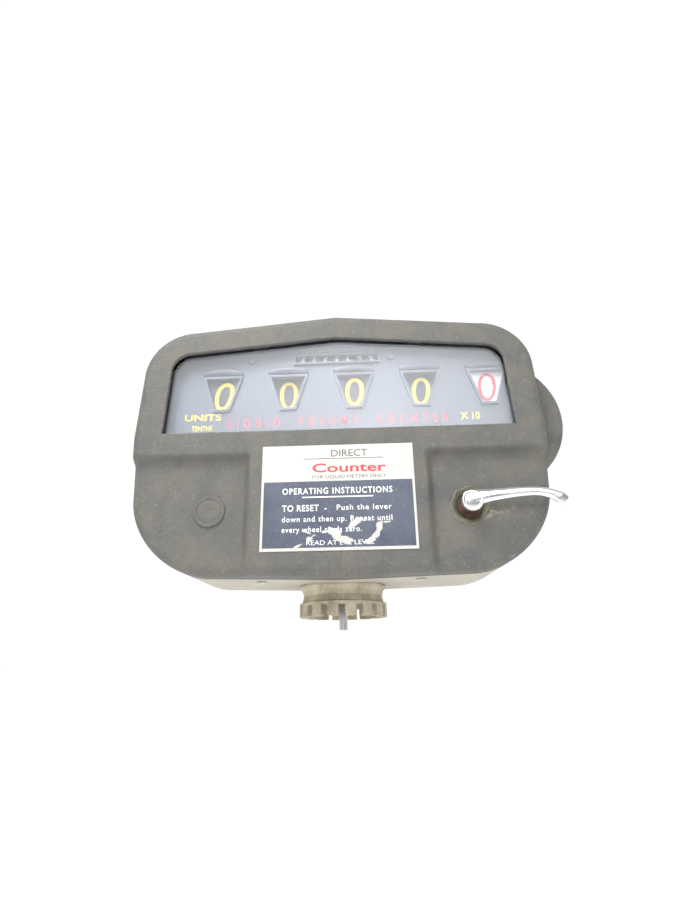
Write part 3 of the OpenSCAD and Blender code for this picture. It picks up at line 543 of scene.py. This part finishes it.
# %% Shape the disc blister
def swept_arc(name, outline, centre, start, end, material, body, steps=90):
    """The closed outline of (radius, height) pairs goes from one angle to another about a Y axis."""
    r, h = np.array(outline, float).T
    a = np.radians(np.linspace(start, end, steps))[:, None]
    grid = np.stack([centre[0] + r * np.cos(a), np.broadcast_to(h, (steps, len(r))),
                     centre[1] + r * np.sin(a)], -1)
    return surface(name, grid * mm, material, body)


disc_x = np.array([-89.6, -38.2, 13.2, 64.6, 116.0])
disc_z = 136.2
round_edge = [(52.7 - 4 * (1 - math.cos(a)),
               -53 - 4 * math.sin(a)) for a in np.radians(np.linspace(0, 90, 8))]
edge = [(28, -44.05), (52.2, -44.05), (52.7, -44.6)] + round_edge + [(28, -57)]
blister = swept_arc("disc_blister", edge, (disc_x[4], disc_z), -62, 62, wrinkle, "head")
co = np.array([v.co[:] for v in blister.data.vertices])
radial = np.hypot(co[:, 0] / mm - disc_x[4], co[:, 2] / mm - disc_z)
rubbed(blister, (0.9 * np.exp(-((radial - 51.5) / 1.8) ** 2)))
creased(blister, 40)

# %% [markdown]
# The lever comes out through a hole with a cast, roughly eight-sided rim, rubbed down to bare
# khaki metal. The left pocket has the same boss, closed by a round plug. Both are lathe shapes;
# the rim's outer edge is pushed in and out eight times around to make its flats.

# %% Turn the lever's rim and the plug
rim_outline = [(13.8, -62.3), (13.7, -63.2), (12.6, -63.4), (11.6, -62.9), (10.1, -61.2), (9.7, -60.4),
               (9.6, -57.05),
               (6.6, -57.05), (6.6, -50), (13.4, -50)]
rim = turned("lever_hole_rim", rim_outline, lever_at, bare_khaki, "head", steps=128)
co = np.array([v.co[:] for v in rim.data.vertices]) / mm
dx, dz = co[:, 0] - lever_at[0], co[:, 2] - lever_at[1]
r, a = np.hypot(dx, dz), np.arctan2(dz, dx)
grow = 1 + 0.04 * np.cos(8 * a + 0.4) * smooth((r - 9.8) / 3)
co[:, 0], co[:, 2] = lever_at[0] + dx * grow, lever_at[1] + dz * grow
rim.data.vertices.foreach_set("co", (co * mm).ravel())
creased(rim, 30)

plug_outline = [(0.01, -63.6), (3.2, -63.6), (3.8, -63.9), (7.6, -64.1), (8.6, -63.8), (9.4, -64.4),
                (10.6, -64.5), (11.3, -64.1),
                (11.5, -63.4), (11.5, -62.6), (0.01, -62.6)]
plug = turned("pocket_plug", plug_outline, plug_at, wrinkle, "head")
radial = np.hypot(*(np.array([v.co[:] for v in plug.data.vertices])[:, ::2] / mm - plug_at).T)
rubbed(plug, (0.6 * np.exp(-((radial - 10.8) / 0.9) ** 2)))
creased(plug, 40)
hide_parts("blanking_plug")

# %% [markdown]
# ## Rear housing and base
# Behind the seam the case is two castings that meet at a level joint: a black housing above and
# a khaki base below. Both are cut from one hollow shell, made of rings that run along the inside,
# round the seam and back along the outside. Cutting one shell keeps their walls in line. Round
# recesses let the cover's screws in from behind.

# %% Loft the rear shell and cut it in two
def rear_shell(name, material):
    """The hollow rear case: inside back, inside wall, seam, outside wall, rounded rear edge."""
    steps = [(4.0, 31.5), (4.0, -44.0), (0.4, -44.0), (0.0, -43.6), (0.0, 27.0)]
    steps += [(9 * (1 - math.cos(a)), 27 + 9 * math.sin(a)) for a in np.radians(np.linspace(0, 90, 10))[1:]]
    grid = np.stack([np.stack([p[:, 0], np.full(len(p), y), p[:, 1]], 1) for p,
                     y in ((case_ring(d), y) for d, y in steps)])
    return surface(name, grid * mm, material, "head")


def cut_level(piece, height, keep_above):
    """Cuts a piece at a level plane, keeps one side and closes the cut wall."""
    work = bmesh.new()
    work.from_mesh(piece.data)
    bmesh.ops.remove_doubles(work, verts=work.verts, dist=1e-7)
    cut = bmesh.ops.bisect_plane(work, geom=work.verts[:] + work.edges[:] + work.faces[:],
                                 plane_co=(0, 0, height * mm),
                                 plane_no=(0, 0, 1), clear_inner=keep_above, clear_outer=not keep_above)
    edges = [g for g in cut["geom_cut"] if isinstance(g, bmesh.types.BMEdge)]
    bmesh.ops.triangle_fill(work, edges=edges, use_beauty=True)
    bmesh.ops.recalc_face_normals(work, faces=work.faces[:])
    open_edges = sum(1 for e in work.edges if len(e.link_faces) != 2)
    work.to_mesh(piece.data)
    work.free()
    piece.data.polygons.foreach_set("use_smooth", np.ones(len(piece.data.polygons), bool))
    print(piece.name, "open edges after the cut:", open_edges)
    return creased(piece, 35)


def sink(piece, spots, radius, floor):
    """Sinks round recesses into the back, down to the depth floor, one at each spot."""
    work = bmesh.new()
    for x, z in spots:
        place = Matrix.Translation((x, (floor + 5) * mm, z)) @ Matrix.Rotation(math.pi / 2, 4, "X")
        bmesh.ops.create_cone(work, cap_ends=True, segments=48, radius1=radius * mm, radius2=radius * mm,
                              depth=10 * mm, matrix=place)
    mesh = bpy.data.meshes.new("recess_cutter")
    work.to_mesh(mesh)
    work.free()
    cutter = bpy.data.objects.new("recess_cutter", mesh)
    bpy.context.scene.collection.objects.link(cutter)
    step = piece.modifiers.new("recesses", "BOOLEAN")
    step.operation, step.object = "DIFFERENCE", cutter
    bpy.context.view_layer.update()
    piece.data = bpy.data.meshes.new_from_object(piece.evaluated_get(bpy.context.evaluated_depsgraph_get()))
    piece.modifiers.clear()
    bpy.data.objects.remove(cutter)
    return creased(piece, 35)


# the cover's screws come in from the back, so their places are read from the CAD part
screws = np.array([nodes["cover_screws"].matrix_world @ v.co for v in nodes["cover_screws"].data.vertices])
middle_z = screws[:, 2].mean()
spots = []
for left in (True, False):
    for low in (True, False):
        near = screws[((screws[:, 0] < 0) == left) & ((screws[:, 2] < middle_z) == low)]
        spots.append((near[:, [0, 2]].min(0) + near[:, [0, 2]].max(0)) / 2)
print("cover screws at", [[round(float(c), 4) for c in s] for s in spots])

housing = cut_level(rear_shell("housing_casting", wrinkle), 66.15, True)
recess_r, recess_floor = 5.0, 32.2
sink(housing, spots, recess_r, recess_floor)
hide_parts("rear_housing")
base = cut_level(rear_shell("base_shell", khaki), 65.85, False)
sink(base, spots, recess_r, recess_floor)
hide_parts("base_casting")
ear = swept_arc("housing_ear",
                [(28, -43.9), (52, -43.9), (52.6, -43.4), (52.6, -40.6), (52, -40), (28, -40)],
                (disc_x[4], disc_z), -62, 62, wrinkle, "head")
creased(ear, 35)

# %% [markdown]
# ## Reset lever
# The lever is a chromed forging: a round hub, an arm that leaves it along its upper side, thins
# in the middle and spreads into a rounded finger end that curls down. A flattened oval section
# travels along a curved centre line while its width and thickness change.

# %% Forge the lever
def along_curve(points, n):
    """n points and directions of a smooth curve through the given points, by cubic blending."""
    points = np.array(points, float)
    padded = np.vstack([2 * points[0] - points[1], points, 2 * points[-1] - points[-2]])
    t = np.linspace(0, len(points) - 1, n)
    k = np.minimum(t.astype(int), len(points) - 2)
    f = (t - k)[:, None]
    a, b, c, d = padded[k], padded[k + 1], padded[k + 2], padded[k + 3]
    place = 0.5 * (2 * b + (c - a) * f + (2 * a - 5 * b + 4 * c - d) * f ** 2 + (3 * b - a - 3 * c + d) * f ** 3)
    way = np.gradient(place, axis=0)
    return place, way / np.linalg.norm(way, axis=1)[:, None], t / (len(points) - 1)


spine, way, t = along_curve([(89, 71), (97, 72.4), (108, 73.7), (122, 74.9), (134, 75.2), (143.5, 73.6),
                             (150, 70.4), (153.6, 67)], 150)
half = np.interp(t, [0, 0.12, 0.25, 0.42, 0.6, 0.75, 0.86, 0.95, 1],
                 [6.4, 5.4, 4.3, 3.4, 3.0, 3.4, 4.1, 3.9, 2.6])
half = half * np.sqrt(np.clip(1 - ((t - 0.965) / 0.035).clip(0) ** 2, 0.0004, 1))
thick = np.interp(t, [0, 0.3, 0.7, 1],
                  [2.7, 2.3, 2.0, 1.7]) * np.sqrt(np.clip(1 - ((t - 0.97) / 0.03).clip(0) ** 2, 0.001, 1))
level = np.interp(t, [0, 0.3, 0.6, 0.85, 1], [-75.1, -75.3, -75.6, -75.2, -74.3])
a = np.linspace(0, 2 * math.pi, 40, endpoint=False)
side = np.sign(np.cos(a)) * abs(np.cos(a)) ** 0.8
lift = np.sign(np.sin(a)) * abs(np.sin(a)) ** 0.75
across = np.stack([-way[:, 1], way[:, 0]], 1)
dish = 0.8 * smooth((t - 0.78) / 0.1)[:, None] * np.cos(a) ** 2 * (lift < 0)
flat = spine[:, None, :] + across[:, None, :] * half[:, None, None] * side[None, :, None]
depth = level[:, None] + thick[:, None] * lift[None, :] - 0.6 * dish
arm = surface("lever_arm", np.stack([flat[..., 0], depth, flat[..., 1]], -1) * mm, chrome, "lever")
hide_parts("reset_lever")
hub_outline = [(0.01, -77.6), (4.2, -77.6), (4.9, -77.35), (5.4, -77.35), (6.2, -77.9), (6.9, -77.8),
               (7.3, -77.2), (7.35, -73.4),
               (6.9, -72.3), (6.2, -72.05), (0.01, -72.05)]
hub = turned("lever_hub", hub_outline, (91, 69.8), chrome, "lever", steps=72)
creased(hub, 50)

# %% [markdown]
# ## Mask behind the glass
# The mask is a moulded plate with five keystone windows, each under a rounded hood, and a slot for
# the small totalizer. The CAD plate has the right openings, so it stays, and the hoods' soft brows
# are added as rounded bands that follow each window's upper arc. One more lies over the slot.

# %% Mould the brows over the windows
def brow(name, centre, radius, half_angle, width, height, body="head"):
    """A soft band along an arc: its cross section is half an ellipse that fades out at both ends."""
    u = np.linspace(-1, 1, 60)[:, None]
    v = np.linspace(0, math.pi, 14)[None, :]
    fade = np.sqrt(np.clip(1 - u ** 6, 0.0005, 1))
    r = radius - width * np.cos(v) * fade * 0.5
    y = -55.0 - height * np.sin(v) * fade
    angle = np.radians(half_angle) * u
    grid = np.stack([centre[0] + r * np.sin(angle), y, centre[1] + r * np.cos(angle)], -1)
    base = grid[:, ::-1].copy()
    base[..., 1] = -54.6
    return surface(name, np.concatenate([grid, base], 1) * mm, mask_enamel, body)


for n, x in enumerate(disc_x, 1):
    brow(f"window_brow_{n}", (x, disc_z), 48.4, 19.5, 6.4, 3.2)
brow("slot_brow", (0, -198.5), 400, 4.4, 5, 2.6)


# %% [markdown]
# ## Numerals
# Each disc carries the ten figures round it, the pointed way in: figures this large are drawn
# straight and then bent round the disc, which makes them wide at the top and narrow at the foot.
# A figure is one or two strokes. Each stroke is a centre line, and a low flat band is laid along it.

# %% Draw the ten figures as centre lines
def arc(cx, cz, rx, rz, start, end, n=26, power=1.0):
    """Points of an elliptical arc, angles in degrees counted from the right."""
    a = np.radians(np.linspace(start, end, n))
    c, s = np.cos(a), np.sin(a)
    return np.stack([cx + rx * np.sign(c) * abs(c) ** power, cz + rz * np.sign(s) * abs(s) ** power], 1)


def line(*points):
    """A straight or broken line, filled with points."""
    return np.concatenate([stretch(a, b, 8) for a, b in zip(points, points[1:])] + [[points[-1]]])


# u runs from -1 to 1 across a figure and v from -1 to 1 up it
figures = {
    0: [arc(0, 0, 1, 1, 0, 360, 56, 0.93)[:-1]],
    1: [line((-0.55, 0.55), (0.15, 1), (0.15, -1))],
    2: [np.vstack([arc(0, 0.45, 0.95, 0.55, 165, -35, 24), line((0.55, -0.05), (-1, -1), (1, -1))])],
    3: [arc(0, 0.5, 0.9, 0.5, 150, -90, 28), arc(0, -0.48, 1, 0.52, 90, -150, 28)],
    4: [line((0.5, -1), (0.5, 1), (-1, -0.4), (1, -0.4))],
    5: [np.vstack([line((0.85, 1), (-0.7, 1), (-0.8, 0.15)), arc(0, -0.38, 0.98, 0.62, 125, -150, 30)])],
    6: [np.vstack([line((0.55, 1), (0.1, 0.8), (-0.6, 0.25)), arc(0, -0.4, 0.98, 0.6, 165, 520, 44)])],
    7: [line((-0.95, 1), (0.95, 1), (-0.2, -1))],
    8: [arc(0, 0.52, 0.8, 0.48, 0, 360, 36)[:-1], arc(0, -0.46, 1, 0.54, 0, 360, 40)[:-1]],
    9: [np.vstack([line((-0.55, -1), (-0.1, -0.8), (0.6, -0.25)), arc(0, 0.4, 0.98, 0.6, -15, 340, 44)])],
}
closed_strokes = {0, 8}


def bands(digits, wide, tall, stroke, bent, height):
    """One array of closed bands: each stroke's centre line is scaled to millimetres, widened to both
    sides by half the stroke, and bent(u, v, h) gives the place of a point u across, v up, h proud."""
    points, faces, start = [], [], 0
    for digit, turn in digits:
        for path in figures[digit]:
            p = path * [wide / 2, tall / 2]
            loop = digit in closed_strokes
            ahead = np.roll(p, -1, 0) - np.roll(p, 1, 0) if loop else np.gradient(p, axis=0)
            normal = np.stack([-ahead[:, 1], ahead[:, 0]], 1) / np.linalg.norm(ahead, axis=1)[:, None]
            left, right = p + normal * stroke / 2, p - normal * stroke / 2
            corners = [(left, height), (right, height), (right, -0.05), (left, -0.05)]
            g = np.stack([bent(q[:, 0], q[:, 1], h, turn) for q, h in corners], 1)
            quads, kept = outward(g.reshape(-1, 3) - g.reshape(-1, 3).mean(0),
                                  grid_faces(len(p), 4, loop))
            faces += list(quads + start)
            if not loop:
                ends = [np.arange(4), (len(p) - 1) * 4 + np.arange(4)[::-1]]
                faces += [(e if not kept else e[::-1]) + start for e in ends]
            points.append(g.reshape(-1, 3))
            start += len(p) * 4
    return np.concatenate(points) * mm, faces


# %% Print the figures on the five discs
def on_disc(x, y, lean, middle, slant):
    """Bends a figure round a disc: its width turns into an angle and its height into a radius. The
    angle is measured at a radius that grows with the height too, so the foot narrows only gently."""
    def bent(u, v, h, turn):
        angle = np.radians(turn + lean) + (u + slant * v) / (middle + 0.6 * v)
        radius = middle + v
        return np.stack([x + radius * np.sin(angle), np.full(len(u), y - h),
                         disc_z + radius * np.cos(angle)], 1)
    return bent


# for each disc: degrees the figures sit off the radius, their middle's radius, their slant
set_of = ((1.3, 28.4, 0.15), (0, 28.7, 0.01), (0.6, 28.9, 0.04), (1.6, 29, 0.055), (0, 29.5, 0.07))
for n, x in enumerate(disc_x, 1):
    y = -52.5 if n % 2 else -49.5
    ten = [(d, -36 * d) for d in range(10)]
    points, faces = bands(ten, 11.3, 21.4, 3.0 if n < 5 else 2.5, on_disc(x, y, *set_of[n - 1]), 0.12)
    piece = put(f"disc_figures_{n}", points, faces, yellow_ink if n < 5 else red_ink, f"digit_{n}",
                smooth=False)
print("disc figures: 5 pieces")

# %% [markdown]
# The totalizer's wheels carry small white figures around their rims. The same strokes are used,
# wrapped round a drum: a figure's height turns into an angle about the wheel's axle.

# %% Print the figures on the totalizer wheels
wheel_y, wheel_z, wheel_r = -44.1, 193.5, 8.6


def on_wheel(x):
    """Wraps a figure round a wheel of axis X, so that a turn of 0 faces the window."""
    def bent(u, v, h, turn):
        angle = np.radians(turn) + v / wheel_r
        radius = wheel_r + h
        return np.stack([x + u, wheel_y - radius * np.cos(angle), wheel_z + radius * np.sin(angle)], 1)
    return bent


shown = (4, 6, 6, 4, 6, 7, 3)
for n, digit in enumerate(shown, 1):
    ten = [(d, -36 * (d - digit)) for d in range(10)]
    points, faces = bands(ten, 3.1, 4.7, 1.0, on_wheel(9.0 * (n - 4)), 0.06)
    piece = put(f"wheel_figures_{n}", points, faces, white_ink, f"counter_{n}", smooth=False)
print("wheel figures: 7 pieces")


# %% [markdown]
# ## Lettering
# The mask names the unit and the factor, and the plate tells how to reset the counter. The words
# here are plain ones of this script's own. Blender's text object gives the letters; each is made a
# mesh first and only then moved to its place, facing forwards.

# %% Set lines of text
def letters(name, words, left, right, low, y, material, size=None, spacing=1.0, weight=0.0,
            middle=False):
    """Text scaled to fit between left and right, or to a given size, with its foot at height low."""
    curve = bpy.data.curves.new(name, "FONT")
    curve.body, curve.space_character, curve.offset, curve.resolution_u = words, spacing, weight, 3
    curve.extrude = 0.012
    maker = bpy.data.objects.new(name + "_maker", curve)
    bpy.context.scene.collection.objects.link(maker)
    bpy.context.view_layer.update()
    mesh = bpy.data.meshes.new_from_object(maker.evaluated_get(bpy.context.evaluated_depsgraph_get()))
    bpy.data.objects.remove(maker)
    co = np.array([v.co[:] for v in mesh.vertices])
    lo, hi = co.min(0), co.max(0)
    height = size if size else (right - left) / (hi[0] - lo[0]) * 0.72
    stretch_x = (right - left) / (hi[0] - lo[0])
    x = left + (co[:, 0] - lo[0]) * stretch_x
    z = low + co[:, 1] * height / 0.72
    placed = np.stack([x, y - (co[:, 2] + 0.012) * 1.2, z], 1) * mm
    mesh.vertices.foreach_set("co", placed.ravel())
    mesh.materials.clear()
    mesh.materials.append(material)
    mesh.update()
    piece = bpy.data.objects.new(name, mesh)
    bpy.context.scene.collection.objects.link(piece)
    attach(piece, "head")
    return piece


mask_y, plate_y = -55.0, -69.5
letters("mask_unit", "UNITS", -118, -89.5, 143.6, mask_y, yellow_ink, size=5.2, weight=0.02)
letters("mask_tenths", "TENTHS", -112, -96, 134.8, mask_y, yellow_ink, size=4.4,
        weight=0.015)
letters("mask_factor", "X 10", 93, 107.6, 138.4, mask_y, yellow_ink, size=5.8, weight=0.02)
letters("mask_caption", "LIQUID  VOLUME  COUNTER", -84, 84, 137.0, mask_y, red_ink, size=7.6,
        spacing=1.9, weight=0.008)

# %% [markdown]
# ## Instruction plate
# The plate is white foil with a dark blue field printed on its lower two thirds. Handling has
# worn flakes of the blue away near the foot. The field, the rules and the flakes are thin sheets
# laid on the foil, each with an outline of its own.

# %% Lay the plate's blue field, rules and flakes
def sheet(name, outline, y, material, thick=0.03):
    """A thin flat sheet with the given closed outline of x and z pairs."""
    p = np.array(outline, float)
    grid = np.stack([np.stack([p[:, 0], np.full(len(p), h), p[:, 1]], 1) for h in (y, y - thick)])
    piece = surface(name, grid * mm, material, "head")
    piece.data.polygons.foreach_set("use_smooth", np.zeros(len(piece.data.polygons), bool))
    return piece


def block(x0, x1, z0, z1):
    """The four corners of a rectangle."""
    return [(x0, z0), (x1, z0), (x1, z1), (x0, z1)]


sheet("plate_blue_field", block(-52.2, 52.2, 41.4, 88.2), plate_y, navy)
sheet("plate_rule_top", block(-24.5, 32.5, 104.7, 105.2), plate_y, dark_ink)
sheet("plate_rule_heading", block(-25, 24.5, 76.2, 77.1), plate_y - 0.03, white_ink)
letters("plate_caption", "DIRECT", -4.5, 21.4, 106.4, plate_y, dark_ink, size=5.4)
letters("plate_title", "Counter", -18, 34.3, 94.9, plate_y, red_ink, size=6.6,
        weight=0.02)
letters("plate_subtitle", "FOR LIQUID METERS ONLY", -18, 34.2, 90.2, plate_y, dark_ink,
        size=2.4)
top = plate_y - 0.03
letters("plate_heading", "OPERATING INSTRUCTIONS", -39, 38, 79, top, white_ink, size=4.5,
        spacing=1.2, weight=0.02)
letters("plate_line_1", "TO RESET  -", -39, -8, 66.8, top, white_ink, size=4.5,
        spacing=1.1, weight=0.02)
letters("plate_line_1b", "Push the lever", -1, 37, 67.1, top, white_ink, size=4.0,
        spacing=1.15, weight=0.01)
letters("plate_line_2", "down and then up. Repeat until", -39, 37, 59.3, top, white_ink,
        size=4.0, spacing=1.15, weight=0.01)
letters("plate_line_3", "every wheel reads zero.", -39, 16, 52.0, top, white_ink,
        size=4.0, spacing=1.15, weight=0.01)
letters("plate_foot", "READ AT EYE LEVEL", -22, 24, 43.1, top, white_ink, size=3.3)

rng = np.random.default_rng(7)


def flake(centre, along, across, tilt, n=44):
    """A ragged oval: its radius wavers with a few random waves."""
    a = np.linspace(0, 2 * math.pi, n, endpoint=False)
    waves = sum(rng.uniform(0.04, 0.2) / k ** 0.3 * np.cos(k * a + rng.uniform(0, 6.3)) for k in (2, 3, 4,
                                                                                                  5, 7, 9))
    waves = np.clip(waves, -0.5, 0.8)
    u, v = along * (1 + waves) * np.cos(a), across * (1 + waves) * np.sin(a)
    c, s = math.cos(math.radians(tilt)), math.sin(math.radians(tilt))
    return np.stack([centre[0] + u * c - v * s, centre[1] + u * s + v * c], 1)


worn_spots = [(-2, 50.5, 5.5, 3.6, -50), (4, 46.5, 6.5, 2.2, -12), (-8.5, 52.3, 3.4, 0.9, 12),
              (11, 57.5, 5, 2.2, 35),
              (15.2, 60.3, 3.0, 0.7, -25), (28, 55.3, 3.6, 2.1, 70), (25.5, 49.5, 5.4, 1.7, 45),
              (21.5, 45.6, 4.2, 1.7, 15),
              (33, 58, 2.8, 0.6, 5), (-20, 47.3, 2.4, 1.5, 10), (-17, 49.6, 1.6, 0.5, 20),
              (-22, 52.0, 3.6, 0.5, -18),
              (-28.5, 42.3, 3.6, 0.8, 25)]
for n, (x, z, along, across, tilt) in enumerate(worn_spots, 1):
    sheet(f"plate_flake_{n}", flake((x, z), along, across, tilt), plate_y - 0.05 - 0.004 * n, foil, 0.02)

# %% [markdown]
# ## Finishes for the CAD parts
# The parts that keep their CAD shape take a finish by material slot, so the table says which part
# is made of what in one place.

# %% Give every CAD node its finish
finish_of = {
    "glass": glass, "gasket_rubber": rubber, "nameplate_foil": foil, "mask_enamel": mask_enamel,
    "khaki_casting": khaki,
    "collar_iron": collar_iron, "chrome": chrome, "bronze": bronze, "red_bronze": red_bronze,
    "spring_steel": steel,
    "plate_aluminium": aluminium, "cast_brackets": cast_grey, "black_screws": black_screw,
    "disc_black": disc_black,
    "disc_white": disc_white, "wheel_black": disc_black, "gear_brass": brass, "bright_steel": steel,
    "wrinkle_paint": wrinkle,
}
dressed = 0
for part in frame["record"]["subparts"]:
    for slot in nodes[part["node"]].material_slots:
        slot.material = mask_enamel if part["node"] == "mask_screws" else finish_of[part["material_slot"]]
    dressed += 1
print("CAD nodes dressed:", dressed, "of", len(nodes))

# %% [markdown]
# ## Floor
# A pale floor below the head closes the studio. It is attached to no body, so it isn't part of the object.

# %% Lay the floor
floor_mesh = bpy.data.meshes.new("floor")
floor_mesh.from_pydata([(-6, -6, -0.075), (6, -6, -0.075), (6, 6, -0.075), (-6, 6, -0.075)], [],
                       [(0, 1, 2, 3)])
floor = bpy.data.objects.new("floor", floor_mesh)
bpy.context.scene.collection.objects.link(floor)
pale = bpy.data.materials.new("floor_white")
pale.use_nodes = True
pale.node_tree.nodes["Principled BSDF"].inputs["Base Color"].default_value = (0.9, 0.9, 0.9, 1)
pale.node_tree.nodes["Principled BSDF"].inputs["Roughness"].default_value = 0.9
pale.node_tree.nodes["Principled BSDF"].inputs["Emission Color"].default_value = (1, 1, 1, 1)
pale.node_tree.nodes["Principled BSDF"].inputs["Emission Strength"].default_value = 0.3
floor_mesh.materials.append(pale)
